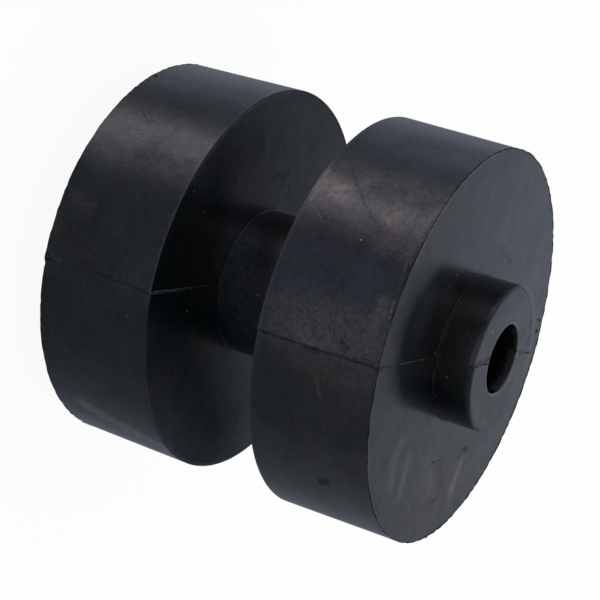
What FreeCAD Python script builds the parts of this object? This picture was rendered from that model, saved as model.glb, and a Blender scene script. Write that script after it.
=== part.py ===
import FreeCAD, Part
import Sketcher
import os

# A boat trailer roller, moulded in one piece from solid black rubber in a two-part mould with a core pin:
# two thick flanges on a short hub, a boss at each end and a through bore for the roller spindle.
# It stands on the end of one boss, with the bore along +Z and the origin at the centre of that end.
# The mould parts along the plane x = 0.

# Driving sizes in millimetres.
SIZES = {
    "flangeDiameter": (120.0, "flange at its outer rim"),
    "crownHeight": (0.45, "how much further out the flange's inner rim is"),
    "flangeWidth": (37.5, "one flange, along the axis"),
    "gapWidth": (35.5, "between the two flanges"),
    "hubDiameter": (45.4, "hub between the flanges"),
    "bossDiameter": (44.4, "boss outside each flange"),
    "bossLength": (11.5, "boss, beyond the flange's face"),
    "boreDiameter": (21.0, "bore, for a 20 mm spindle"),
    "boreFlare": (0.35, "how much wider the bore is at its mouths"),
    "rimBevel": (0.4, "broken edge of the flanges' rims"),
    "bossRadius": (1.0, "rounding of the bosses' ends"),
    "mouldShift": (0.3, "how far off the axis each mould half sits"),
    "seamHeight": (0.25, "how far the parting line stands proud"),
    "seamWidth": (0.4, "thickness of the parting line"),
}

os.makedirs("parts", exist_ok=True)
doc = FreeCAD.newDocument("boat_trailer_roller")
sheet = doc.addObject("Spreadsheet::Sheet", "sizes")
for row, (alias, (value, meaning)) in enumerate(SIZES.items(), start=1):
    sheet.set(f"A{row}", meaning)
    sheet.set(f"B{row}", str(value))
    sheet.setAlias(f"B{row}", alias)
doc.recompute()

# Heights of the faces above the end that the roller stands on.
LOWER_OUTER_FACE = "sizes.bossLength"
LOWER_INNER_FACE = LOWER_OUTER_FACE + " + sizes.flangeWidth"
UPPER_INNER_FACE = LOWER_INNER_FACE + " + sizes.gapWidth"
UPPER_OUTER_FACE = UPPER_INNER_FACE + " + sizes.flangeWidth"
TOP_END = UPPER_OUTER_FACE + " + sizes.bossLength"

# Distances from the axis.
BORE = "sizes.boreDiameter / 2"
BOSS = "sizes.bossDiameter / 2"
HUB = "sizes.hubDiameter / 2"
RIM = "sizes.flangeDiameter / 2"
CROWN = RIM + " + sizes.crownHeight"
SEAM_REACH = CROWN + " + sizes.mouldShift + sizes.seamHeight"

# The corners of the roller's outline from one end to the other: distance from the axis, height, which way the
# face there looks along the axis (up or down), and what kind of edge the corner makes.
OUTLINE = [
    (BOSS, "0", "down", "boss end"),
    (BOSS, LOWER_OUTER_FACE, "down", "root"),
    (RIM, LOWER_OUTER_FACE, "down", "rim"),
    (CROWN, LOWER_INNER_FACE, "up", "rim"),
    (HUB, LOWER_INNER_FACE, "up", "root"),
    (HUB, UPPER_INNER_FACE, "down", "root"),
    (CROWN, UPPER_INNER_FACE, "down", "rim"),
    (RIM, UPPER_OUTER_FACE, "up", "rim"),
    (BOSS, UPPER_OUTER_FACE, "up", "root"),
    (BOSS, TOP_END, "up", "boss end"),
]


def in_mm(formula):
    """A size, or a formula of sizes, as a number of millimetres."""
    value = sheet.evalExpression(formula)
    return float(getattr(value, "Value", value))


def grow(outline, outward, along):
    """Moves an outline away from the axis by one formula, and out of each face by another."""
    sign = {"up": "+", "down": "-"}
    return [
        (f"{distance} + {outward}", f"{height} {sign[looks]} {along}", looks, edge)
        for distance, height, looks, edge in outline
    ]


def hold(sketch, line, direction, formula):
    """Holds the start of a line at a formula's distance across or up from the sketch's origin."""
    distance = in_mm(formula)
    if distance == 0:
        axis = -2 if direction == "X" else -1
        sketch.addConstraint(Sketcher.Constraint("PointOnObject", line, 1, axis))
        return
    first, last, sign = ((-1, 1), (line, 1), "") if distance > 0 else ((line, 1), (-1, 1), "-")
    number = sketch.addConstraint(Sketcher.Constraint("Distance" + direction, *first, *last, abs(distance)))
    sketch.setExpression(f"Constraints[{number}]", f"{sign}({formula})")


def draw_half_section(sketch, outline):
    """Draws the closed half section between an outline and the axis."""
    corners = [(distance, height) for distance, height, _, _ in outline]
    corners = [("0", corners[0][1])] + corners + [("0", corners[-1][1])]
    points = [FreeCAD.Vector(in_mm(across), in_mm(up), 0) for across, up in corners]
    for start, end in zip(points, points[1:] + points[:1]):
        sketch.addGeometry(Part.LineSegment(start, end), False)
    for line, (across, up) in enumerate(corners):
        sketch.addConstraint(Sketcher.Constraint("Coincident", (line - 1) % len(corners), 2, line, 1))
        hold(sketch, line, "X", across)
        hold(sketch, line, "Y", up)


def turned_body(name, outline, angle=360, offset="0", backwards=False):
    """A body turned about its own axis from a half section, its axis set off along Y."""
    body = doc.addObject("PartDesign::Body", name)
    sketch = body.newObject("Sketcher::SketchObject", name + "_section")
    plane = next(feature for feature in body.Origin.OriginFeatures if feature.Role == "YZ_Plane")
    sketch.AttachmentSupport = (plane, "")
    sketch.MapMode = "FlatFace"
    sketch.setExpression("AttachmentOffset.Base.x", offset)
    draw_half_section(sketch, outline)
    turning = body.newObject("PartDesign::Revolution", name + "_turning")
    turning.Profile = sketch
    turning.ReferenceAxis = (sketch, ["V_Axis"])
    turning.Angle = angle
    turning.Reversed = backwards
    doc.recompute()
    return body


def round_edges(shape, outline, kind):
    """Names of the round edges that the outline's corners of one kind make."""
    places = [(in_mm(distance), in_mm(height)) for distance, height, _, edge in outline if edge == kind]
    names = []
    for number, edge in enumerate(shape.Edges, start=1):
        if isinstance(edge.Curve, Part.Circle):
            distance, height = edge.Curve.Radius, edge.Curve.Center.z
            if any(abs(distance - across) + abs(height - up) < 1e-6 for across, up in places):
                names.append(f"Edge{number}")
    return names


def dress_edges(body, outline, kind, feature, size_name, formula):
    """Bevels or rounds a turned body's edges of one kind."""
    base = body.Tip
    dressing = body.newObject(feature, f"{body.Name}_{size_name.lower()}")
    dressing.Base = (base, round_edges(base.Shape, outline, kind))
    dressing.setExpression(size_name, formula)
    body.Tip = dressing
    doc.recompute()


def mould_half(name, offset, backwards):
    """What one half of the mould forms: half of the roller without its bore, set off the axis."""
    half = turned_body(name, OUTLINE, angle=180, offset=offset, backwards=backwards)
    dress_edges(half, OUTLINE, "rim", "PartDesign::Chamfer", "Size", "sizes.rimBevel")
    dress_edges(half, OUTLINE, "boss end", "PartDesign::Fillet", "Radius", "sizes.bossRadius")
    return half


def parting_line():
    """A thin rib all round in the plane x = 0. It follows the surface and ends where the bosses' ends are
    rounded, so that the roller still stands flat."""
    outline = grow(OUTLINE, "sizes.mouldShift + sizes.seamHeight", "sizes.seamHeight")
    form = turned_body("seam_form", outline)
    dress_edges(form, outline, "rim", "PartDesign::Chamfer", "Size", "sizes.rimBevel")
    slab = doc.addObject("Part::Box", "seam_slab")
    slab.setExpression("Length", "sizes.seamWidth")
    slab.setExpression("Width", f"2 * ({SEAM_REACH})")
    slab.setExpression("Height", f"{TOP_END} - 2 * sizes.bossRadius")
    slab.setExpression("Placement.Base.x", "-sizes.seamWidth / 2")
    slab.setExpression("Placement.Base.y", f"-({SEAM_REACH})")
    slab.setExpression("Placement.Base.z", "sizes.bossRadius")
    rib = doc.addObject("Part::Common", "seam")
    rib.Base = form
    rib.Tool = slab
    return rib


def core_pin():
    """The pin that leaves the bore, one true round with a small flare at both mouths."""
    mouth = BORE + " + sizes.boreFlare"
    outline = [
        (mouth, "0", "down", "mouth"),
        (BORE, "sizes.boreFlare", "down", "wall"),
        (BORE, TOP_END + " - sizes.boreFlare", "up", "wall"),
        (mouth, TOP_END, "up", "mouth"),
    ]
    return turned_body("core_pin", outline)


moulding = doc.addObject("Part::MultiFuse", "moulding")
moulding.Shapes = [
    mould_half("mould_half_a", "-sizes.mouldShift", backwards=False),
    mould_half("mould_half_b", "sizes.mouldShift", backwards=True),
    parting_line(),
]
roller = doc.addObject("Part::Cut", "roller")
roller.Base = moulding
roller.Tool = core_pin()
doc.recompute()

for item in doc.Objects:
    if "Invalid" in item.State or "Error" in item.State:
        raise RuntimeError(f"{item.Name} didn't build: {item.State}")
if roller.Shape.isNull() or not roller.Shape.isValid() or len(roller.Shape.Solids) != 1:
    raise RuntimeError(f"{roller.Label} isn't one valid solid")
roller.Shape.exportStep(f"parts/{roller.Label}.step")
print(f"{roller.Label}: {roller.Shape.Volume / 1000:.1f} cm3")
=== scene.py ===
import bpy
import bmesh
import math
import random
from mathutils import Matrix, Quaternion, Vector


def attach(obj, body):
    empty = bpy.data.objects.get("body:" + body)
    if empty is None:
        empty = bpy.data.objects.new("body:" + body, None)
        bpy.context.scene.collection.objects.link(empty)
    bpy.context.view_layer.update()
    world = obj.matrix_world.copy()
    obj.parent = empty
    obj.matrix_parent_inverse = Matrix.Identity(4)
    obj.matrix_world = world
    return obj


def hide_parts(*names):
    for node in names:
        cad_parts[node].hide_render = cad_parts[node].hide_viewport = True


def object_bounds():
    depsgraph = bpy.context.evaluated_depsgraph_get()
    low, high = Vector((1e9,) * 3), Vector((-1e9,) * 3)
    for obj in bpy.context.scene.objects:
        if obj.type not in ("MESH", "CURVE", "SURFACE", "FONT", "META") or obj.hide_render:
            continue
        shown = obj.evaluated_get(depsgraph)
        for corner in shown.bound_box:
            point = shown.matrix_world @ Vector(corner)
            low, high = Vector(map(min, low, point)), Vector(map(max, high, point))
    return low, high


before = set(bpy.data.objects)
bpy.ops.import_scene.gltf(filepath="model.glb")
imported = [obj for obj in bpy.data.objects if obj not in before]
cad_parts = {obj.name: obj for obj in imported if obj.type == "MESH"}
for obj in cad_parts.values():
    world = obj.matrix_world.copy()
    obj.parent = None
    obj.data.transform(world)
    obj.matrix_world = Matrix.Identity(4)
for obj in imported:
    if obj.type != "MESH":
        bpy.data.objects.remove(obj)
cadLow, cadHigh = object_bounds()
mm = 0.001

# The camera, where the photo was taken from

cameraView = {
    "place": (-101.661 * mm, -485.914 * mm, 306.766 * mm),
    "aim": (1.421 * mm, -0.864 * mm, 65.62 * mm),
    "rollDegrees": 107.784,  # in the photo the roller lies on its side
    "lens": 108.065,
    "sensor": 36.0,
    "nearest": 10.0 * mm,
    "picture": 600,  # pixels each way
}


def makeCamera():
    place = Vector(cameraView["place"])
    level = (Vector(cameraView["aim"]) - place).to_track_quat("-Z", "Y")
    rolled = level @ Quaternion((0, 0, 1), math.radians(cameraView["rollDegrees"]))
    bpy.ops.object.camera_add(location=place, rotation=rolled.to_euler())
    camera = bpy.context.object
    camera.name = "camera"
    camera.data.lens = cameraView["lens"]
    camera.data.sensor_width = cameraView["sensor"]
    camera.data.clip_start = cameraView["nearest"]
    bpy.context.scene.camera = camera
    bpy.context.view_layer.update()
    print("camera made")
    return camera


def lineOfSight(camera, pixel):
    # the direction in which the camera sees a pixel of the photo
    half = cameraView["picture"] / 2
    reach = cameraView["sensor"] / 2 / cameraView["lens"]
    across = (pixel[0] - half) / half * reach
    up = (half - pixel[1]) / half * reach
    return (camera.matrix_world.to_quaternion() @ Vector((across, up, -1))).normalized()


def spotUnder(camera, body, pixel):
    # where a pixel of the photo falls on the roller, and which way the surface faces there
    hit, place, normal, face = body.ray_cast(camera.location, lineOfSight(camera, pixel))
    return place, normal


# Selecting in edit mode by place

def openForEditing(piece):
    bpy.ops.object.select_all(action="DESELECT")
    piece.select_set(True)
    bpy.context.view_layer.objects.active = piece
    bpy.ops.object.mode_set(mode="EDIT")
    bpy.ops.mesh.select_mode(type="VERT")
    bpy.ops.mesh.select_all(action="DESELECT")


def closeEditing():
    bpy.ops.object.mode_set(mode="OBJECT")
    bpy.ops.object.select_all(action="DESELECT")


def pickPoints(piece, wanted):
    # selects the points whose place passes the test
    mesh = bmesh.from_edit_mesh(piece.data)
    for point in mesh.verts:
        point.select = wanted(point.co)
    mesh.select_flush_mode()
    bmesh.update_edit_mesh(piece.data, loop_triangles=False, destructive=False)


def pickEdges(piece, wanted):
    # selects the edges whose two ends both pass the test
    mesh = bmesh.from_edit_mesh(piece.data)
    for edge in mesh.edges:
        edge.select = wanted(edge.verts[0].co) and wanted(edge.verts[1].co)
    mesh.select_flush_mode()
    bmesh.update_edit_mesh(piece.data, loop_triangles=False, destructive=False)


def outFromAxis(place):
    return math.hypot(place.x, place.y)


# The rubber roller

roller = {
    "sides": 288,
    "rimRadius": 60.0 * mm,
    "crownRadius": 60.45 * mm,
    "hubRadius": 22.7 * mm,
    "bossRadius": 22.2 * mm,
    "boreRadius": 10.5 * mm,
    "boreFlare": 0.35 * mm,
    "flangeWidth": 37.5 * mm,
    "bossLength": 11.5 * mm,
    "ringGap": 1.6 * mm,  # between two rings of points on the outside
    "boreRingGap": 12.0 * mm,
    # how far the corners of the outline are rounded, in how many steps, and which of its corners they are
    "roundings": {
        "bossEnds": (0.4 * mm, 4, (1, 10)),
        "roots": (0.25 * mm, 3, (2, 5, 6, 9)),
        "rims": (0.08 * mm, 2, (3, 4, 7, 8)),
    },
    "onSpot": 0.01 * mm,  # two places closer than this are the same
    "mouldShift": 0.3 * mm,  # each half of the mould sits this far off the axis
    "waviness": 0.06 * mm,
    "waveLength": 14.0 * mm,
    "sharpAngle": 15,  # in degrees: an edge that turns by more stays sharp
}
rollerHeight = cadHigh.z - cadLow.z
lowerFace = roller["bossLength"]
lowerInner = lowerFace + roller["flangeWidth"]
upperFace = rollerHeight - roller["bossLength"]
upperInner = upperFace - roller["flangeWidth"]
mouthRadius = roller["boreRadius"] + roller["boreFlare"]


def rollerOutline():
    # the corners from the lower end of the bore, over the outside, to its upper end and back through it
    return [
        (mouthRadius, 0.0),
        (roller["bossRadius"], 0.0),
        (roller["bossRadius"], lowerFace),
        (roller["rimRadius"], lowerFace),
        (roller["crownRadius"], lowerInner),
        (roller["hubRadius"], lowerInner),
        (roller["hubRadius"], upperInner),
        (roller["crownRadius"], upperInner),
        (roller["rimRadius"], upperFace),
        (roller["bossRadius"], upperFace),
        (roller["bossRadius"], rollerHeight),
        (mouthRadius, rollerHeight),
        (roller["boreRadius"], rollerHeight - roller["boreFlare"]),
        (roller["boreRadius"], roller["boreFlare"]),
        (mouthRadius, 0.0),
    ]


def pullRing(start, end, gap):
    # extrudes the selected ring from one corner of the outline to the next, in even steps
    steps = max(1, round(math.dist(start, end) / gap))
    radius, height = start
    for step in range(1, steps + 1):
        nextRadius = start[0] + (end[0] - start[0]) * step / steps
        nextHeight = start[1] + (end[1] - start[1]) * step / steps
        bpy.ops.mesh.extrude_edges_move(TRANSFORM_OT_translate={"value": (0, 0, nextHeight - height)})
        growth = nextRadius / radius
        bpy.ops.transform.resize(value=(growth, growth, 1), center_override=(0, 0, 0))
        radius, height = nextRadius, nextHeight


def roundCorner(piece, corner, size, segments):
    # bevels the ring of edges at one corner of the outline
    def onCorner(place):
        off = (abs(outFromAxis(place) - corner[0]), abs(place.z - corner[1]))
        return max(off) < roller["onSpot"]

    bpy.ops.mesh.select_mode(type="EDGE")
    pickEdges(piece, onCorner)
    bpy.ops.mesh.bevel(offset=size, offset_type="OFFSET", segments=segments, profile=0.5, affect="EDGES")
    bpy.ops.mesh.select_mode(type="VERT")


def turnRoller():
    outline = rollerOutline()
    bpy.ops.object.select_all(action="DESELECT")
    bpy.ops.mesh.primitive_circle_add(vertices=roller["sides"], radius=mouthRadius, fill_type="NOTHING")
    body = bpy.context.object
    body.name = "rollerBody"
    bpy.ops.object.mode_set(mode="EDIT")
    bpy.ops.mesh.select_mode(type="VERT")
    bpy.ops.mesh.select_all(action="SELECT")
    for start, end in zip(outline, outline[1:]):
        inBore = max(start[0], end[0]) < mouthRadius + roller["onSpot"]
        pullRing(start, end, roller["boreRingGap"] if inBore else roller["ringGap"])
    bpy.ops.mesh.select_all(action="SELECT")
    bpy.ops.mesh.remove_doubles(threshold=roller["onSpot"] / 10)
    bpy.ops.mesh.normals_make_consistent(inside=False)
    for size, segments, corners in roller["roundings"].values():
        for corner in corners:
            roundCorner(body, outline[corner], size, segments)
    closeEditing()
    print("roller turned:", len(body.data.polygons), "faces")
    return body


# The parting line: the two halves of the mould sit a little off each other, and rubber has crept in between

seam = {
    "cuts": (-1.2 * mm, -0.5 * mm, -0.2 * mm, 0.2 * mm, 0.5 * mm, 1.2 * mm),
    "plane": 0.02 * mm,  # points within this of the parting plane lie on it
    "groove": (0.1 * mm, 0.3 * mm),  # where the groove beside the lip is, from the plane
    "offTheBore": 0.2 * mm,  # the bore has no parting line this far outside its mouth
    "zoneEdge": 0.5 * mm,
    "seed": 4,
    "narrow": 0.02 * mm,  # how far a lip reaches to each side before it falls off
    "broad": 0.22 * mm,
    # how far the lip stands up, how deep the groove beside it is, how uneven both are, and the lip's reach
    "zones": {
        "lowerTread": (0.0 * mm, 0.05 * mm, 0.05 * mm, "narrow"),
        "upperTread": (-0.05 * mm, 0.11 * mm, 0.1 * mm, "narrow"),
        "lowerFlank": (0.35 * mm, 0.0 * mm, 0.14 * mm, "broad"),
        "upperFlank": (0.2 * mm, 0.0 * mm, 0.1 * mm, "narrow"),
        "face": (0.2 * mm, 0.04 * mm, 0.1 * mm, "broad"),
        "hub": (0.12 * mm, 0.0 * mm, 0.08 * mm, "narrow"),
        "boss": (0.06 * mm, 0.0 * mm, 0.05 * mm, "narrow"),
        "end": (-0.2 * mm, 0.3 * mm, 0.08 * mm, "narrow"),
    },
}


def seamZone(place):
    # which part of the roller's surface a point is on
    edge = seam["zoneEdge"]
    if outFromAxis(place) > roller["rimRadius"] - edge:
        return "lowerTread" if place.z < rollerHeight / 2 else "upperTread"
    if min(place.z, rollerHeight - place.z) < edge:
        return "end"
    if abs(place.z - lowerInner) < edge:
        return "lowerFlank"
    if abs(place.z - upperInner) < edge:
        return "upperFlank"
    if abs(place.z - lowerFace) < edge or abs(place.z - upperFace) < edge:
        return "face"
    return "hub" if lowerInner < place.z < upperInner else "boss"


def cutPartingLine(body):
    openForEditing(body)
    for across in seam["cuts"]:
        bpy.ops.mesh.select_all(action="SELECT")
        bpy.ops.mesh.bisect(plane_co=(across, 0, 0), plane_no=(1, 0, 0))
    closeEditing()


def shiftHalves(piece, outside=0.0):
    # each half of the mould sits a little off the axis, the other way than its fellow
    plane = seam["plane"]
    for side in (-1, 1):
        pickPoints(
            piece,
            lambda at: outFromAxis(at) > outside
            and (at.x * side > plane or (abs(at.x) <= plane and at.y * side > 0)),
        )
        bpy.ops.transform.translate(value=(0, side * roller["mouldShift"], 0))


def shapePartingLine(body):
    outside = mouthRadius + seam["offTheBore"]
    grooveFrom, grooveTo = seam["groove"]

    def onLip(place):
        return abs(place.x) < lipReach and outFromAxis(place) > outside

    def inGroove(place):
        recessed = place.x * -math.copysign(1, place.y)
        return grooveFrom < recessed < grooveTo and outFromAxis(place) > outside

    openForEditing(body)
    for number, (zone, (lip, groove, unevenness, reach)) in enumerate(seam["zones"].items()):
        lipReach = seam[reach]
        for wanted, height in ((onLip, lip), (inGroove, -groove)):
            pickPoints(body, lambda at: wanted(at) and seamZone(at) == zone)
            bpy.ops.transform.shrink_fatten(value=height)
            roughness = unevenness if height else 0
            bpy.ops.transform.vertex_random(
                offset=roughness, uniform=0, normal=1, seed=seam["seed"] + number)
    shiftHalves(body, outside)
    closeEditing()
    print("parting line shaped")


def ruffleSurface(body):
    waves = bpy.data.textures.new("mouldWaves", "CLOUDS")
    waves.noise_scale = roller["waveLength"]
    swell = body.modifiers.new("waves", "DISPLACE")
    swell.texture = waves
    swell.texture_coords = "LOCAL"
    swell.strength = roller["waviness"]
    swell.mid_level = 0.5
    bpy.context.view_layer.objects.active = body
    bpy.ops.object.modifier_apply(modifier=swell.name)


def finishPiece(piece, material, sharpAngle):
    bpy.ops.object.select_all(action="DESELECT")
    piece.select_set(True)
    bpy.context.view_layer.objects.active = piece
    bpy.ops.object.shade_smooth_by_angle(angle=math.radians(sharpAngle))
    piece.select_set(False)
    piece.data.materials.append(material)
    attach(piece, "root")
    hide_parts("roller")


# Materials

def newMaterial(name):
    material = bpy.data.materials.new(name)
    material.use_nodes = True
    return material, material.node_tree


def addNode(tree, kind, label="", **settings):
    fresh = tree.nodes.new(kind)
    fresh.label = label
    for name, value in settings.items():
        setattr(fresh, name, value)
    return fresh


def join(tree, source, target):
    tree.links.new(source, target)


def noiseLayer(tree, vector, scale, detail, roughness, label):
    layer = addNode(tree, "ShaderNodeTexNoise", label)
    layer.inputs["Scale"].default_value = scale
    layer.inputs["Detail"].default_value = detail
    layer.inputs["Roughness"].default_value = roughness
    join(tree, vector, layer.inputs["Vector"])
    return layer.outputs["Fac"]


def mapRange(tree, value, fromLow, fromHigh, toLow, toHigh, label="", smooth=False):
    change = addNode(tree, "ShaderNodeMapRange", label)
    change.inputs["From Min"].default_value = fromLow
    change.inputs["From Max"].default_value = fromHigh
    change.inputs["To Min"].default_value = toLow
    change.inputs["To Max"].default_value = toHigh
    if smooth:
        change.interpolation_type = "SMOOTHSTEP"
    join(tree, value, change.inputs["Value"])
    return change.outputs["Result"]


def calculate(tree, operation, *values, clamped=False):
    step = addNode(tree, "ShaderNodeMath", operation=operation, use_clamp=clamped)
    for socket, value in zip(step.inputs, values):
        if isinstance(value, (int, float)):
            socket.default_value = value
        else:
            join(tree, value, socket)
    return step.outputs["Value"]


def vectorStep(tree, operation, *values):
    step = addNode(tree, "ShaderNodeVectorMath", operation=operation)
    for socket, value in zip(step.inputs, values):
        if hasattr(value, "is_output"):
            join(tree, value, socket)
        else:
            socket.default_value = value
    return step.outputs["Value" if operation in ("LENGTH", "DOT_PRODUCT") else "Vector"]


def acrossAndUp(tree, across, up):
    # how long a slope is that goes so far across and so far up
    squared = calculate(tree, "MULTIPLY", up, up)
    return calculate(tree, "SQRT", calculate(tree, "MULTIPLY_ADD", across, across, squared))


def mixColours(tree, amount, first, second):
    mix = addNode(tree, "ShaderNodeMix", data_type="RGBA")
    join(tree, amount, mix.inputs["Factor"])
    for socket, value in ((mix.inputs["A"], first), (mix.inputs["B"], second)):
        if isinstance(value, tuple):
            socket.default_value = (*value, 1)
        else:
            join(tree, value, socket)
    return mix.outputs["Result"]


rubber = {
    "green": (0.0010, 0.0036, 0.0030),
    "lilac": (0.0020, 0.0019, 0.0042),
    "boreDust": (0.0022, 0.0022, 0.0018),
    "roughness": (0.22, 0.28),
    "gloss": (0.36, 0.63),  # specular level, less where the skin is dirty
    "patchiness": (0.25, 1.2),  # how much of a stain shows, from speck to speck
    "raggedEdge": 5.0 * mm,  # how ragged the edge of a smear gets at most
    "raggedShare": 0.8,  # how much of a smear's reach is ragged
    "edgeCore": 0.3,  # how much of a worn edge's reach is worn evenly
    "treadEdge": (0.8 * mm, 0.3 * mm),  # how far inside the rim a tread's finish begins and is full
    "boreEdge": (0.1 * mm, 0.2 * mm),  # how far outside the bore its dust begins to thin and ends
    # scale, detail and roughness of each noise
    "noises": {
        "mottle": (110, 4, 0.62),
        "grit": (440, 4, 0.7),
        "specks": (900, 3, 0.65),
        "hue": (143, 2, 0.5),
        "patches": (275, 3, 0.6),
        "drawn lines": (9, 3, 0.7),
        "dimples": (330, 2, 0.5),
        "grain": (1500, 2, 0.6),
    },
    "noiseBand": (0.35, 0.65),  # what a noise does happens between these two levels of it
    "patchBand": (0.3, 0.7),
    # how deep each layer of relief is
    "relief": {"drawn lines": 0.014 * mm, "dimples": 0.05 * mm, "grain": 0.022 * mm},
    "flatRelief": 0.3,  # how much of the grain and dimples the flat faces have
    "drawnOut": (0.35, 160.0),  # how often the drawn lines change round the axis and along it
}

# edges made duller or paler; on the two inner rims the paler band is a painted highlight. How far from the
# axis and how high the edge is, how far the change reaches, how dull it is and what tone it has taken
wornEdgesAndRimHighlights = {
    "boreMouth": (roller["boreRadius"] + 0.2 * mm, rollerHeight, 0.7 * mm, 0.0, (0.060, 0.063, 0.068)),
    "bossEnd": (roller["bossRadius"], rollerHeight, 1.1 * mm, 0.55, None),
    "bossEndRounding": (roller["bossRadius"], rollerHeight, 0.55 * mm, 0.0, (0.021, 0.022, 0.025)),
    "bossRoot": (roller["bossRadius"], upperFace, 0.7 * mm, 0.7, None),
    "upperRim": (roller["rimRadius"], upperFace, 0.5 * mm, 0.5, None),
    "hubRoot": (roller["hubRadius"], lowerInner, 0.9 * mm, 0.3, None),
    # painted highlights: paler bands along the two inner rims, where their edges catch the light
    "farInnerRimPaintedHighlight": (roller["crownRadius"] + 0.1 * mm, lowerInner, 0.45 * mm, 0.0, (0.024, 0.026, 0.029)),
    "nearInnerRimPaintedHighlight": (roller["crownRadius"] + 0.1 * mm, upperInner, 1.2 * mm, 0.0, (0.010, 0.0115, 0.013)),
}

# colours laid on the rubber, each over those above it: stains and film, and painted light and highlights
# where the name or a comment says painted. Each lies along a line between two pixels of the photo, and has a
# reach and a colour
stainsAndPaintedLight = {
    "palePatch": ((328, 184), (340, 194), 5.0 * mm, (0.030, 0.025, 0.023)),
    "pinkFleck": ((336, 188), (349, 187), 1.6 * mm, (0.100, 0.064, 0.054)),
    "pinkFleckBelow": ((330, 195), (344, 198), 1.8 * mm, (0.065, 0.047, 0.046)),
    # painted highlight along the near flange's inner rim
    "paintedInnerRimHighlight": ((330, 168), (311, 200), 0.7 * mm, (0.060, 0.054, 0.051)),
    "seamBlue": ((300, 337), (333, 348), 1.7 * mm, (0.022, 0.028, 0.038)),
    # painted glint along the seam's lip on the near tread
    "paintedSeamGlint": ((303, 340), (312, 344), 0.7 * mm, (0.048, 0.046, 0.042)),
    "scratchBelow": ((317, 380), (320, 396), 0.8 * mm, (0.024, 0.023, 0.025)),
    "nearBlue": ((370, 258), (374, 272), 3.0 * mm, (0.003, 0.005, 0.018)),
    "nearBlueLeft": ((312, 276), (320, 274), 2.0 * mm, (0.003, 0.005, 0.018)),
    "farBlue": ((112, 164), (124, 164), 2.5 * mm, (0.004, 0.006, 0.018)),
    "farRimPink": ((75, 196), (90, 208), 3.5 * mm, (0.013, 0.008, 0.010)),
    "faceWarm": ((420, 505), (462, 470), 14.0 * mm, (0.011, 0.006, 0.005)),
    "faceCool": ((505, 215), (520, 255), 14.0 * mm, (0.003, 0.004, 0.012)),
    # painted light: paler patches on the bore's walls where light falls into it
    "paintedBoreLightRight": ((515, 330), (517, 346), 1.7 * mm, (0.026, 0.023, 0.019)),
    "paintedBoreLightLowerRight": ((513, 353), (508, 374), 2.6 * mm, (0.022, 0.022, 0.025)),
    "paintedBoreLightLower": ((507, 376), (496, 389), 2.8 * mm, (0.026, 0.026, 0.029)),
    "secondPatch": ((386, 216), (397, 227), 3.6 * mm, (0.032, 0.024, 0.021)),
    "secondFleck": ((387, 220), (390, 224), 1.3 * mm, (0.080, 0.055, 0.048)),
    # painted highlight: the tread's highlight carried on toward the rim
    "paintedRimHighlight": ((384, 246), (412, 254), 5.0 * mm, (0.018, 0.016, 0.016)),
    "rimFlecks": ((384, 303), (376, 322), 3.6 * mm, (0.036, 0.032, 0.031)),
    # painted highlight along the near tread's rim edge
    "paintedRimEdgeHighlight": ((394, 302), (389, 318), 0.5 * mm, (0.060, 0.054, 0.049)),
    # lighter and bluer over the hub
    "hubLighter": ((237, 236), (246, 330), 14.0 * mm, (0.0130, 0.0190, 0.0250)),
    "paleCentre": ((424, 462), (430, 488), 4.5 * mm, (0.024, 0.022, 0.021)),
    "brownAtSeam": ((290, 318), (366, 340), 12.0 * mm, (0.0215, 0.0200, 0.0185)),
    "brownBelowSeam": ((300, 362), (366, 385), 7.0 * mm, (0.011, 0.008, 0.006)),
    # painted highlight: widens the far tread's highlight upward
    "paintedFarHighlight": ((114, 116), (206, 142), 4.5 * mm, (0.008, 0.007, 0.008)),
    "farRimBrown": ((60, 214), (55, 234), 3.5 * mm, (0.012, 0.009, 0.003)),
    # painted reflection: the far tread paler at its lower limb
    "paintedFarBottomReflection": ((84, 404), (160, 446), 5.0 * mm, (0.042, 0.042, 0.042)),
    # painted light: softens the edge of the boss's reflected shade on the near face
    "paintedLightByBoss": ((427, 288), (422, 322), 8.0 * mm, (0.0075, 0.0095, 0.0105)),
    "rootTorn": ((433.5, 374), (436, 415), 1.2 * mm, (0.017, 0.015, 0.014)),
    "farTopVeil": ((165, 82), (215, 84), 8.0 * mm, (0.0085, 0.0100, 0.0125)),
    # the far flank made darker: its colour here, its gloss cut in the list below
    "farFlankDimmed": ((172, 330), (214, 430), 32.0 * mm, (0.0015, 0.0042, 0.0050)),
    "paleStreakTop": ((402, 442), (395, 458), 3.6 * mm, (0.030, 0.032, 0.034)),
    "paleStreakLeft": ((394, 460), (391, 486), 3.6 * mm, (0.032, 0.035, 0.038)),
    "paleStreakMiddle": ((409, 456), (399, 496), 3.8 * mm, (0.034, 0.037, 0.042)),
    "paleStreakRight": ((461, 462), (451, 490), 2.9 * mm, (0.064, 0.063, 0.063)),
}
# painted light in the bore, kept smooth
evenPaintedLight = ("paintedBoreLightLowerRight", "paintedBoreLightLower")  # the light that falls into the bore is smooth
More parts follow.
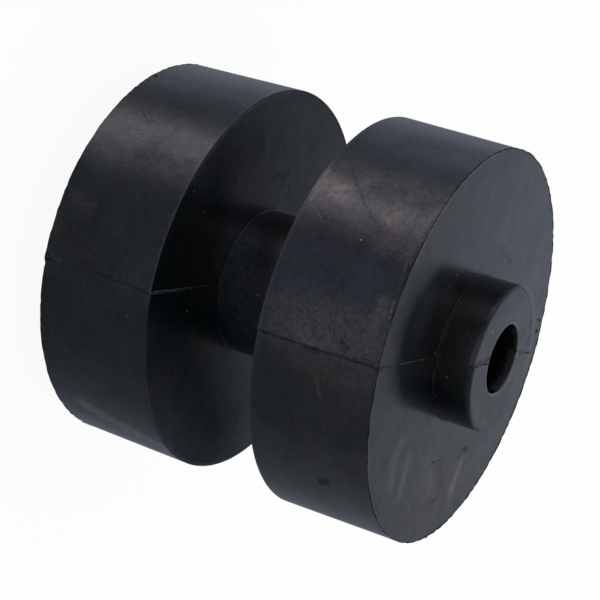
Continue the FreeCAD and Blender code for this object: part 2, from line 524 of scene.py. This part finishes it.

# where the gloss is dulled: the same, but how much of the gloss is lost stands in place of the colour
dullPatches = {
    "softLineTop": ((350, 168), (356, 180), 0.7 * mm, 0.22),
    "softLineMiddle": ((356, 180), (365, 204), 0.7 * mm, 0.2),
    "softLineLow": ((365, 204), (375, 222), 0.8 * mm, 0.18),
    "softArc": ((318, 206), (325, 218), 0.6 * mm, 0.2),
    "softArcLow": ((325, 218), (348, 226), 0.6 * mm, 0.18),
    "seamSmudge": ((306, 348), (318, 350), 1.5 * mm, 0.5),
    "seamOval": ((342, 342), (348, 347), 1.1 * mm, 0.6),
    "bossEndWhole": ((488, 330), (492, 400), 8.0 * mm, 0.06),
    "farFlankDimmedTop": ((228, 156), (246, 160), 16.0 * mm, 0.6),
    "dullLowFace": ((440, 466), (443, 500), 3.8 * mm, 0.3),
    "dullRightFace": ((459, 452), (464, 464), 2.6 * mm, 0.3),
    "dullUnderVeil": ((140, 153), (204, 172), 4.0 * mm, 0.25),
    "dullNearRim": ((374, 190), (428, 208), 6.5 * mm, 0.4),
    "dullNearMiddle": ((334, 168), (356, 176), 3.5 * mm, 0.2),
    "dullFarLow": ((165, 141), (202, 152), 5.0 * mm, 0.12),
    "endSeamLeft": ((474, 366), (489, 359), 1.2 * mm, 0.8),
    "endSeamRight": ((518, 351.5), (530, 353), 0.9 * mm, 0.75),
    "dullNearTop": ((410, 138), (476, 154), 8.0 * mm, 0.26),
    "farFlankDimmedLeft": ((212, 184), (224, 192), 11.0 * mm, 0.6),
    "seamShade": ((264, 332), (302, 345), 0.8 * mm, 0.35),
    "seamShadeRight": ((304, 346), (372, 366), 1.1 * mm, 0.42),
    "farSeamShade": ((100, 274), (148, 293), 0.9 * mm, 0.3),
    "topScratch": ((142, 112), (150, 123), 0.7 * mm, 0.4),
    "topScratchRight": ((149, 112), (153, 121), 0.5 * mm, 0.3),
    "topSmudge": ((178, 127), (173, 133), 0.9 * mm, 0.35),
    "faceBlot": ((464, 449), (467, 450), 2.0 * mm, 0.85),
    "faceArc": ((429, 502), (436, 499), 1.2 * mm, 0.6),
    "bossEndLow": ((492, 398), (506, 408), 8.0 * mm, 0.28),
    "bossSideEnd": ((495, 302), (487, 324), 1.5 * mm, 0.55),
    "dullFarMiddle": ((80, 235), (115, 255), 10.0 * mm, 0.14),
    "darkBlot": ((322, 482), (326, 482), 2.2 * mm, 0.75),
    # the far flank's gloss cut down, so it renders darker
    "farFlankDimmed": ((172, 330), (214, 430), 32.0 * mm, 0.88),
    "flankSmudge": ((274, 177), (288, 174), 2.0 * mm, 0.45),
    "bossEndTop": ((508, 300), (520, 296), 7.0 * mm, 0.32),
    "dullBetween": ((404, 446), (399, 462), 2.0 * mm, 0.2),
    "dullBesideStreak": ((415, 452), (410, 490), 3.0 * mm, 0.12),
    "arcLeft": ((502, 249), (511, 262), 1.0 * mm, 0.4),
    "arcRight": ((534, 248), (527, 262), 1.2 * mm, 0.25),
}
flatOnly = ("farFlankDimmedTop", "farFlankDimmedLeft", "farFlankDimmed")  # on the flat faces alone, never on a tread


def rollerPlaces(tree):
    # where a point is on the roller: its place, its height, how far out and which way round it is,
    # and how much of it is on a tread or in the bore
    place = addNode(tree, "ShaderNodeTexCoord").outputs["Object"]
    parts = addNode(tree, "ShaderNodeSeparateXYZ")
    join(tree, place, parts.inputs["Vector"])
    out = acrossAndUp(tree, parts.outputs["X"], parts.outputs["Y"])
    bore, rim = roller["boreRadius"], roller["rimRadius"]
    treadFrom, treadFull = rubber["treadEdge"]
    dustFull, dustEnd = rubber["boreEdge"]
    return {
        "place": place,
        "height": parts.outputs["Z"],
        "out": out,
        "around": calculate(tree, "ARCTAN2", parts.outputs["Y"], parts.outputs["X"]),
        "onTread": mapRange(tree, out, rim - treadFrom, rim - treadFull, 0, 1, "on a tread"),
        "inBore": mapRange(tree, out, bore + dustFull, bore + dustEnd, 1, 0, "in the bore"),
    }


def smearShare(tree, camera, body, where, grit, name, pixels, reach):
    # 1 along the line between the two pixels, down to 0 at its reach, with a ragged edge
    start, end = (spotUnder(camera, body, pixel)[0] for pixel in pixels)
    ragged = min(reach, rubber["raggedEdge"]) * rubber["raggedShare"]
    line = end - start
    offset = vectorStep(tree, "SUBTRACT", where["place"], start)
    along = vectorStep(tree, "DOT_PRODUCT", offset, line / line.length_squared)
    nearest = addNode(tree, "ShaderNodeVectorMath", operation="SCALE")
    nearest.inputs[0].default_value = line
    join(tree, calculate(tree, "ADD", along, 0.0, clamped=True), nearest.inputs["Scale"])
    offset = vectorStep(tree, "SUBTRACT", offset, nearest.outputs["Vector"])
    distance = calculate(tree, "MULTIPLY_ADD", grit, ragged * 2, vectorStep(tree, "LENGTH", offset))
    share = mapRange(tree, distance, ragged, ragged + reach, 1, 0, name, smooth=True)
    if name in flatOnly:
        share = calculate(tree, "MULTIPLY", share, calculate(tree, "SUBTRACT", 1.0, where["onTread"]))
    return share


def wearAndHighlightEdges(tree, where, colour, gloss):
    for name, (radius, height, reach, dull, tone) in wornEdgesAndRimHighlights.items():
        across = calculate(tree, "SUBTRACT", where["out"], radius)
        away = acrossAndUp(tree, across, calculate(tree, "SUBTRACT", where["height"], height))
        core = rubber["edgeCore"] * reach
        gloss = calculate(tree, "MULTIPLY", gloss, mapRange(tree, away, core, reach, 1 - dull, 1, name))
        if tone:
            colour = mixColours(tree, mapRange(tree, away, core, reach, 1, 0, name), colour, tone)
    return colour, gloss


def carveRelief(tree, where, noise):
    # the bumps of the skin, one layer on the other
    rings = addNode(tree, "ShaderNodeCombineXYZ", "drawn out round the axis")
    aroundScale, alongScale = rubber["drawnOut"]
    join(tree, calculate(tree, "MULTIPLY", where["around"], aroundScale), rings.inputs["X"])
    join(tree, calculate(tree, "MULTIPLY", where["height"], alongScale), rings.inputs["Y"])
    lessOnFlats = mapRange(tree, where["onTread"], 0, 1, rubber["flatRelief"], 1, "less relief on the flats")
    layers = {
        "drawn lines": (noise("drawn lines", rings.outputs["Vector"]), where["onTread"]),
        "dimples": (noise("dimples"), lessOnFlats),
        "grain": (noise("grain"), lessOnFlats),
    }
    normal = None
    for name, (layer, share) in layers.items():
        bump = addNode(tree, "ShaderNodeBump", name)
        bump.inputs["Distance"].default_value = rubber["relief"][name]
        join(tree, calculate(tree, "MULTIPLY", layer, share), bump.inputs["Height"])
        if normal:
            join(tree, normal, bump.inputs["Normal"])
        normal = bump.outputs["Normal"]
    return normal


def makeRubber(camera, body):
    material, tree = newMaterial("rubber")
    shader = tree.nodes["Principled BSDF"]
    where = rollerPlaces(tree)

    def noise(name, vector=where["place"]):
        return noiseLayer(tree, vector, *rubber["noises"][name], name)

    grit = noise("grit")
    speck = noise("specks")
    tint = mapRange(tree, noise("hue"), *rubber["noiseBand"], 0, 1, "green to lilac")
    colour = mixColours(tree, tint, rubber["green"], rubber["lilac"])
    colour = mixColours(tree, where["inBore"], colour, rubber["boreDust"])
    patchy = mapRange(tree, speck, *rubber["noiseBand"], *rubber["patchiness"], "patchy")
    for name, (start, end, reach, tone) in stainsAndPaintedLight.items():
        share = smearShare(tree, camera, body, where, grit, name, (start, end), reach)
        if name not in evenPaintedLight:
            share = calculate(tree, "MULTIPLY", share, patchy)
        colour = mixColours(tree, share, colour, tone)

    # half of the gloss's unevenness is mottle and half is specks
    halfMottle = calculate(tree, "MULTIPLY", noise("mottle"), 0.5)
    uneven = calculate(tree, "MULTIPLY_ADD", speck, 0.5, halfMottle)
    gloss = mapRange(tree, uneven, *rubber["noiseBand"], *rubber["gloss"], "gloss")
    for name, (start, end, reach, dull) in dullPatches.items():
        share = smearShare(tree, camera, body, where, grit, name, (start, end), reach)
        gloss = calculate(tree, "MULTIPLY", gloss, mapRange(tree, share, 0, 1, 1, 1 - dull))

    colour, gloss = wearAndHighlightEdges(tree, where, colour, gloss)
    roughness = mapRange(tree, noise("patches"), *rubber["patchBand"], *rubber["roughness"], "roughness")
    join(tree, colour, shader.inputs["Base Color"])
    join(tree, gloss, shader.inputs["Specular IOR Level"])
    join(tree, roughness, shader.inputs["Roughness"])
    join(tree, carveRelief(tree, where, noise), shader.inputs["Normal"])
    print("rubber mixed:", len(tree.nodes), "nodes")
    return material


# Small things on the skin: all have a finish of their own, a mottled colour with a little grain

skin = {
    "darkest": 0.45,  # how much of its colour the mottle leaves
    "mottle": (1200, 3, 0.6),
    "grain": (2500, 2, 0.6),
    "grainDepth": 0.02 * mm,
    "sharpAngle": 38,
}


def makeSkinFinish(name, colour, roughness, gloss):
    material, tree = newMaterial(name)
    shader = tree.nodes["Principled BSDF"]
    shader.inputs["Specular IOR Level"].default_value = gloss
    shader.inputs["Roughness"].default_value = roughness
    place = addNode(tree, "ShaderNodeTexCoord").outputs["Object"]
    mottle = mapRange(tree, noiseLayer(tree, place, *skin["mottle"], "mottle"), *rubber["noiseBand"], 0, 1)
    darker = tuple(level * skin["darkest"] for level in colour)
    join(tree, mixColours(tree, mottle, darker, colour), shader.inputs["Base Color"])
    grain = addNode(tree, "ShaderNodeBump")
    grain.inputs["Distance"].default_value = skin["grainDepth"]
    join(tree, noiseLayer(tree, place, *skin["grain"], "grain"), grain.inputs["Height"])
    join(tree, grain.outputs["Normal"], shader.inputs["Normal"])
    return material


def joinPieces(pieces, name):
    bpy.ops.object.select_all(action="DESELECT")
    for piece in pieces:
        piece.select_set(True)
    bpy.context.view_layer.objects.active = pieces[0]
    bpy.ops.object.join()
    pieces[0].name = name
    bpy.ops.object.transform_apply(location=True, rotation=True, scale=True)
    bpy.ops.object.select_all(action="DESELECT")
    return pieces[0]


# Scratches, scuffs and torn skin, with painted glints and a painted shadow along the seam

marks = {
    "seed": 21,
    "sides": 6,
    "step": 2.5,  # pixels between two places along a mark
    "fewestSteps": 3,
    "leap": 4.0 * mm,  # a mark stops where the next place is further off than this
    "sunk": 0.55,  # how much of its radius a mark is sunk into the skin
    "thickness": (0.4, 1.25),  # how thin and how thick a mark gets along its way, as shares of its radius
    "endThickness": 0.35,
    "dark": {"colour": (0.003, 0.003, 0.004), "roughness": 0.55, "gloss": 0.16},
    "light": {"colour": (0.050, 0.049, 0.051), "roughness": 0.45, "gloss": 0.4},
    # width in millimetres, and the pixels of the photo that each mark runs through
    "darkLines": [
        (0.35, ((349, 359), (358, 358), (366, 359), (373, 363))),
        (0.16, ((428, 192), (416, 217), (405, 247))),
        (0.14, ((436, 184), (424, 205), (412, 232))),
        (0.3, ((419, 244), (411, 262), (404, 280), (399, 296))),
        (0.28, ((446, 201), (434, 219), (422, 240))),
        (0.3, ((118, 281), (130, 284), (142, 290), (149, 293))),
        (0.25, ((68, 232), (76, 227), (81, 225))),
        (0.18, ((289, 182), (288, 194), (286, 206))),
        (0.5, ((432, 462), (435, 462))),
        (0.45, ((439, 460), (441, 461))),
        (0.5, ((456, 456), (459, 457))),
        (0.12, ((413, 508), (411, 520), (412, 534))),
        (0.9, ((515, 348), (516, 353))),
        # painted shadow: a dark matte bead under the fin's light line on the near face
        (0.3, ((379, 368.5), (386, 367.5), (394, 366))),
        (0.4, ((254, 284), (258, 290))),
        (0.3, ((245, 291), (250, 296))),
        (0.3, ((493, 222), (494, 224))),
        (0.3, ((521, 287.5), (526.5, 292), (530, 302), (531, 318), (530, 334), (527.5, 347))),
        (0.4, ((333, 330), (334, 335))),
        (0.3, ((518, 351.3), (524, 351.8), (530, 352.8))),
    ],
    "lightLines": [
        # painted glints: pale beads along the torn lip of the seam on the near tread, where it catches the
        # light
        (0.3, ((303, 342), (308, 344), (313, 346))),
        (0.3, ((318, 348), (324, 350), (331, 351))),
        (0.3, ((334, 353), (339, 356), (345, 358))),
        (0.45, ((387, 262), (387, 268))),
        (0.22, ((432, 190), (420, 216), (409, 249), (401, 285))),
        (0.2, ((424, 200), (412, 227), (402, 257))),
        (0.25, ((414, 246), (408, 260), (404, 272))),
        (0.25, ((180, 128), (190, 127), (200, 130))),
        (0.25, ((52, 257), (58, 260), (63, 262))),
        (0.4, ((155, 265), (158, 270))),
        # painted highlight: a pale bead along the seam's fin on the near face, where it catches the light
        (0.35, ((430, 357), (445, 356), (460, 357))),
        (0.7, ((435, 351), (436, 356))),
        (0.16, ((240, 234), (231, 250), (226, 262))),
        (0.13, ((223, 274), (219, 290), (217, 303))),
        (0.16, ((218, 322), (220, 335), (226, 345))),
        (0.2, ((484, 273), (476, 278), (470, 284), (463, 293))),
        (0.16, ((482, 277), (474, 283))),
        (0.1, ((461, 296), (456, 304), (452, 311))),
        (0.2, ((450, 314), (445, 326))),
        (0.16, ((443, 333), (438, 349))),
        (0.2, ((434, 369), (433, 374))),
        (0.28, ((433, 380), (433, 383))),
        (0.2, ((433, 390), (434, 401))),
        # painted highlight: a pale bead along the seam's fin on the near face, where it catches the light
        (0.35, ((397, 365), (410, 362), (430, 358))),
        (0.7, ((490, 356), (488, 362))),
        (0.8, ((435.5, 347), (436, 355))),
    ],
}


def placesAlong(camera, body, pixels, radius):
    # where a line of pixels runs over the roller, a little under its skin, as one or more unbroken runs
    runs = [[]]
    for start, end in zip(pixels, pixels[1:]):
        steps = max(marks["fewestSteps"], round(math.dist(start, end) / marks["step"]))
        for step in range(steps if end != pixels[-1] else steps + 1):
            share = step / steps
            pixel = [first + (last - first) * share for first, last in zip(start, end)]
            place, normal = spotUnder(camera, body, pixel)
            if place is None:
                continue
            place = place - normal * radius * marks["sunk"]
            if runs[-1] and (place - runs[-1][-1]).length > marks["leap"]:
                runs.append([])
            runs[-1].append(place)
    return [run for run in runs if len(run) > 1]


def drawMark(places, radius, chance):
    # a thin uneven bead along the places, closed at both ends
    thin, thick = marks["thickness"]
    turned = (places[1] - places[0]).to_track_quat("Z", "Y").to_euler()
    bpy.ops.object.select_all(action="DESELECT")
    bpy.ops.mesh.primitive_circle_add(
        vertices=marks["sides"], radius=radius * thin, fill_type="NGON", location=places[0], rotation=turned)
    bead = bpy.context.object
    bpy.ops.object.transform_apply(location=True, rotation=True, scale=True)
    bpy.ops.object.mode_set(mode="EDIT")
    bpy.ops.mesh.select_mode(type="FACE")
    bpy.ops.mesh.select_all(action="SELECT")
    size = thin
    for number, (last, place) in enumerate(zip(places, places[1:])):
        atEnd = number == len(places) - 2
        wanted = marks["endThickness"] if atEnd else chance.uniform(thin, thick)
        bpy.ops.mesh.extrude_region_move(TRANSFORM_OT_translate={"value": place - last})
        bpy.ops.transform.resize(value=(wanted / size,) * 3, center_override=place)
        size = wanted
    bpy.ops.mesh.select_all(action="SELECT")
    bpy.ops.mesh.normals_make_consistent(inside=False)
    bpy.ops.object.mode_set(mode="OBJECT")
    return bead


def makeMarks(camera, body, kind):
    chance = random.Random(marks["seed"])
    beads = []
    for width, pixels in marks[kind + "Lines"]:
        radius = width / 2 * mm
        for places in placesAlong(camera, body, pixels, radius):
            beads.append(drawMark(places, radius, chance))
    return joinPieces(beads, kind + "Marks")


# The ragged bead of flash that the trimming left round the two outer rims

trim = {
    "sides": 1080,
    "beadSides": 5,
    "thickness": 0.12 * mm,  # radius of the bead
    "sunk": 0.5,  # how much of its radius the bead is sunk into the rim
    "raggedness": 0.14 * mm,
    "evenly": 0.6,  # how much of the raggedness goes every way, and how much of it outwards
    "outwards": 0.4,
    "seed": 8,
    "finish": {"colour": (0.006, 0.006, 0.007), "roughness": 0.6, "gloss": 0.14},
}


def makeTrim(height):
    bpy.ops.object.select_all(action="DESELECT")
    bpy.ops.mesh.primitive_torus_add(
        major_segments=trim["sides"], minor_segments=trim["beadSides"],
        major_radius=roller["rimRadius"] - trim["thickness"] * trim["sunk"],
        minor_radius=trim["thickness"], location=(0, 0, height))
    ring = bpy.context.object
    bpy.ops.object.transform_apply(location=True, rotation=True, scale=True)
    openForEditing(ring)
    bpy.ops.mesh.select_all(action="SELECT")
    bpy.ops.transform.vertex_random(
        offset=trim["raggedness"], uniform=trim["evenly"], normal=trim["outwards"], seed=trim["seed"])
    shiftHalves(ring)
    closeEditing()
    return ring


# Crumbs: torn chips of flash that stand out at the rims, small dark pits, and lint

crumb = {
    "sizes": (0.7, 1.25),  # how small and how large one gets, as shares of its kind's size
    "stretch": (0.6, 1.3),
    "torn": 0.3,  # how far its points are pulled about, as a share of its kind's size
    "lastSeed": 999,
}

# lift: how far a crumb stands off the skin, as a share of its kind's size
chips = {
    "size": 0.3 * mm,
    "seed": 5,
    "lift": 0.4,
    "pixels": ((48, 254), (49, 259), (156, 76), (539, 320), (537, 331), (426, 537)),
}

pits = {
    "size": 0.14 * mm,
    "seed": 9,
    "lift": -0.3,
    "pixels": (
        (288, 142), (292, 150), (286, 158), (295, 162), (290, 170), (299, 148), (281, 166), (296, 176),
        (303, 156), (284, 149), (291, 184), (278, 158), (300, 168), (372, 284), (333, 300), (313, 262),
        (292, 372), (450, 196), (470, 232), (500, 190), (413, 290), (104, 206), (121, 196), (97, 176),
        (131, 222), (345, 402), (290, 435),
    ),
}

brightLint = {
    "size": 0.19 * mm,
    "seed": 12,
    "lift": 0.3,
    "finish": {"colour": (0.42, 0.43, 0.45), "roughness": 0.8, "gloss": 0.2},
    "pixels": ((361, 240), (138.6, 136), (258, 295), (491.6, 331), (492, 332.5), (492.4, 334)),
}

greyLint = {
    "size": 0.15 * mm,
    "seed": 12,
    "lift": 0.3,
    "finish": {"colour": (0.14, 0.15, 0.165), "roughness": 0.8, "gloss": 0.2},
    "pixels": (
        (73, 230), (89, 256), (61.5, 279), (116, 278), (87, 298), (127.5, 316), (140, 311), (52, 333),
        (142, 400), (204, 212), (213, 248), (187, 311), (175, 370), (239, 299), (194, 191), (110, 159),
        (437, 396), (451, 413), (457, 275), (445, 281), (453, 277), (449, 287), (472, 342), (447, 377),
    ),
}


def makeCrumbs(camera, body, kind, name):
    # small torn crumbs that sit on the skin under some pixels of the photo
    chance = random.Random(kind["seed"])
    size = kind["size"]
    crumbs = []
    for pixel in kind["pixels"]:
        place, normal = spotUnder(camera, body, pixel)
        if place is None:
            continue
        bpy.ops.object.select_all(action="DESELECT")
        bpy.ops.mesh.primitive_ico_sphere_add(
            subdivisions=2, radius=size * chance.uniform(*crumb["sizes"]),
            location=place + normal * size * kind["lift"])
        bit = bpy.context.object
        bpy.ops.object.mode_set(mode="EDIT")
        bpy.ops.mesh.select_all(action="SELECT")
        stretch = [chance.uniform(*crumb["stretch"]) for axis in range(3)]
        bpy.ops.transform.resize(value=stretch, center_override=bit.location)
        bpy.ops.transform.vertex_random(
            offset=size * crumb["torn"], uniform=1, normal=0, seed=chance.randint(0, crumb["lastSeed"]))
        bpy.ops.object.mode_set(mode="OBJECT")
        crumbs.append(bit)
    return joinPieces(crumbs, name)


# The studio: a white floor and plain white light all round. Gloss mirrors a dark surround with soft lights
# in it instead, since a black thing shows only what it mirrors.

studio = {
    "floorSize": 8.0,
    "floorColour": (0.82, 0.82, 0.82),
    "floorWhite": 0.93,  # how much of the floor the camera sees as plain white, the rest takes the shadow
    "plainLevel": 1.0,
}

# azimuth and elevation of each light's middle, half its width and height, and how far it fades out each way,
# all in degrees
softLights = {
    "softBox": {"middle": (-170, -27), "half": (6, 32), "fade": (7, 45), "colour": (0.95, 0.9, 0.97)},
    "softBoxEdge": {"middle": (178, -27), "half": (5, 32), "fade": (10, 45), "colour": (0.31, 0.29, 0.3)},
    "softBoxSpill": {"middle": (-157, -27), "half": (4, 32), "fade": (16, 45), "colour": (0.84, 0.76, 0.94)},
    "softBoxTop": {"middle": (-163, -16), "half": (7, 6), "fade": (12, 12), "colour": (0.8, 0.62, 0.6)},
    "wall": {"middle": (132, -24), "half": (18, 25), "fade": (15, 26), "colour": (0.14, 0.14, 0.18)},
    "besideCamera": {"middle": (-100, -4), "half": (13, 4), "fade": (27, 7), "colour": (1.28, 1.14, 1.43)},
    "underCamera": {"middle": (-102, -20), "half": (20, 6), "fade": (25, 10), "colour": (0.23, 0.25, 0.37)},
    "overCamera": {"middle": (-102, 40), "half": (50, 20), "fade": (30, 20), "colour": (0.6, 0.46, 0.44)},
    "rightFill": {"middle": (-20, -12), "half": (40, 5), "fade": (30, 8), "colour": (0.21, 0.19, 0.2)},
    "leftFill": {"middle": (165, -12), "half": (20, 5), "fade": (20, 8), "colour": (0.28, 0.34, 0.47)},
    "leftHigh": {"middle": (150, 25), "half": (20, 15), "fade": (20, 15), "colour": (0.16, 0.12, 0.13)},
    "farFloor": {"middle": (78, -26), "half": (7, 14), "fade": (14, 10), "colour": (0.45, 0.45, 0.5)},
    "window": {"middle": (93, 5), "half": (9, 5), "fade": (15, 9), "colour": (0.54, 0.65, 0.92)},
    "backWall": {"middle": (78, 19), "half": (60, 4), "fade": (30, 2), "colour": (0.555, 0.575, 0.625)},
    "floorGlow": {"middle": (0, -24), "half": (180, 20), "fade": (1, 20), "colour": (0.22, 0.25, 0.3)},
    "ceiling": {"middle": (0, 70), "half": (180, 30), "fade": (1, 20), "colour": (0.15, 0.24, 0.33)},
}


def addPlainWhite(tree, kind, socket):
    # an even white that gives light
    white = addNode(tree, kind, "plain white")
    white.inputs["Color"].default_value = (1, 1, 1, 1)
    white.inputs["Strength"].default_value = studio["plainLevel"]
    return white.outputs[socket]


def blendInto(tree, outputKind, share, first, second):
    # mixes two shaders and joins the mix to the output
    blend = addNode(tree, "ShaderNodeMixShader")
    join(tree, share, blend.inputs["Fac"])
    join(tree, first, blend.inputs[1])
    join(tree, second, blend.inputs[2])
    output = addNode(tree, outputKind)
    join(tree, blend.outputs["Shader"], output.inputs["Surface"])


def makeFloor():
    bpy.ops.object.select_all(action="DESELECT")
    bpy.ops.mesh.primitive_plane_add(size=studio["floorSize"])
    floor = bpy.context.object
    floor.name = "floor"
    material, tree = newMaterial("floorWhite")
    tree.nodes.clear()
    cloth = addNode(tree, "ShaderNodeBsdfDiffuse")
    cloth.inputs["Color"].default_value = (*studio["floorColour"], 1)
    white = addPlainWhite(tree, "ShaderNodeEmission", "Emission")
    cameraRay = addNode(tree, "ShaderNodeLightPath").outputs["Is Camera Ray"]
    seen = calculate(tree, "MULTIPLY", cameraRay, studio["floorWhite"])
    blendInto(tree, "ShaderNodeOutputMaterial", seen, cloth.outputs["BSDF"], white)
    floor.data.materials.append(material)
    floor.visible_glossy = False
    print("floor made")


def fadedWindow(tree, angle, middle, half, fade):
    # 1 within half an opening of its middle, and smoothly down to 0 over the fade
    offset = calculate(tree, "WRAP", calculate(tree, "SUBTRACT", angle, middle), 180.0, -180.0)
    return mapRange(tree, calculate(tree, "ABSOLUTE", offset), half, half + fade, 1, 0, smooth=True)


def makeSurround():
    world = bpy.data.worlds.new("studio")
    world.use_nodes = True
    bpy.context.scene.world = world
    tree = world.node_tree
    tree.nodes.clear()
    parts = addNode(tree, "ShaderNodeSeparateXYZ")
    join(tree, addNode(tree, "ShaderNodeTexCoord").outputs["Generated"], parts.inputs["Vector"])
    turn = calculate(tree, "DEGREES", calculate(tree, "ARCTAN2", parts.outputs["Y"], parts.outputs["X"]))
    rise = calculate(tree, "DEGREES", calculate(tree, "ARCSINE", parts.outputs["Z"]))

    light = None
    for name, patch in softLights.items():
        across = fadedWindow(tree, turn, patch["middle"][0], patch["half"][0], patch["fade"][0])
        upright = fadedWindow(tree, rise, patch["middle"][1], patch["half"][1], patch["fade"][1])
        add = addNode(tree, "ShaderNodeVectorMath", name, operation="MULTIPLY_ADD")
        add.inputs[0].default_value = patch["colour"]
        join(tree, calculate(tree, "MULTIPLY", across, upright), add.inputs[1])
        if light:
            join(tree, light, add.inputs[2])
        light = add.outputs["Vector"]
    mirrored = addNode(tree, "ShaderNodeBackground", "what gloss mirrors")
    join(tree, light, mirrored.inputs["Color"])
    white = addPlainWhite(tree, "ShaderNodeBackground", "Background")
    glossyRay = addNode(tree, "ShaderNodeLightPath").outputs["Is Glossy Ray"]
    blendInto(tree, "ShaderNodeOutputWorld", glossyRay, white, mirrored.outputs["Background"])
    print("studio surround made")


bpy.context.scene.view_settings.view_transform = "Standard"
camera = makeCamera()
makeFloor()
makeSurround()

body = turnRoller()
cutPartingLine(body)
shapePartingLine(body)
ruffleSurface(body)
bpy.context.view_layer.update()
finishPiece(body, makeRubber(camera, body), roller["sharpAngle"])
print("roller finished")

darkSkin = makeSkinFinish("darkSkin", **marks["dark"])
lightSkin = makeSkinFinish("lightSkin", **marks["light"])
finishPiece(makeMarks(camera, body, "dark"), darkSkin, skin["sharpAngle"])
finishPiece(makeMarks(camera, body, "light"), lightSkin, skin["sharpAngle"])
print("marks drawn")

inward = trim["thickness"] * trim["sunk"]
rimTrim = joinPieces([makeTrim(lowerFace + inward), makeTrim(upperFace - inward)], "rimTrim")
finishPiece(rimTrim, makeSkinFinish("trimSkin", **trim["finish"]), skin["sharpAngle"])
print("trim made")

for name, kind, finish in (
    ("flashChips", chips, darkSkin),
    ("pits", pits, darkSkin),
    ("brightLint", brightLint, makeSkinFinish("brightFluff", **brightLint["finish"])),
    ("greyLint", greyLint, makeSkinFinish("greyFluff", **greyLint["finish"])),
):
    finishPiece(makeCrumbs(camera, body, kind, name), finish, skin["sharpAngle"])
print("chips, pits and lint made")

bpy.context.view_layer.update()
